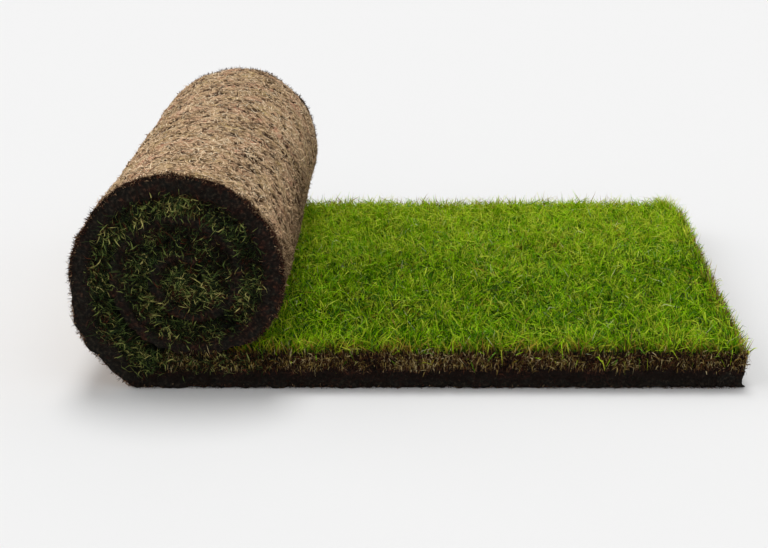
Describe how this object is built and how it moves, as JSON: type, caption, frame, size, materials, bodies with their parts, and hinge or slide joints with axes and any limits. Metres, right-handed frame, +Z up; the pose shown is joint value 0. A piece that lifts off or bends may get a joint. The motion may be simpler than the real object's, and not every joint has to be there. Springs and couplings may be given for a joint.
{
  "type": "roll of turf",
  "caption": "Strip of lawn turf, rolled up with the soil outside and opened at one end, so that part of it lies flat on the floor with its grass up.",
  "frame": {"origin": "on the floor, at the middle of the whole piece's footprint", "axes": "+Z up, +X from the roll along the flat stretch, +Y along the roll's axis, away from the picture's viewer"},
  "size_m": [0.6631, 0.4, 0.212],
  "materials": {
    "soil": "crumbly rooted soil, matt",
    "grass": "fresh lawn grass"
  },
  "bodies": {
    "root": {"soil_mat": "soil", "grass_sward": "grass"}
  },
  "joints": []
}
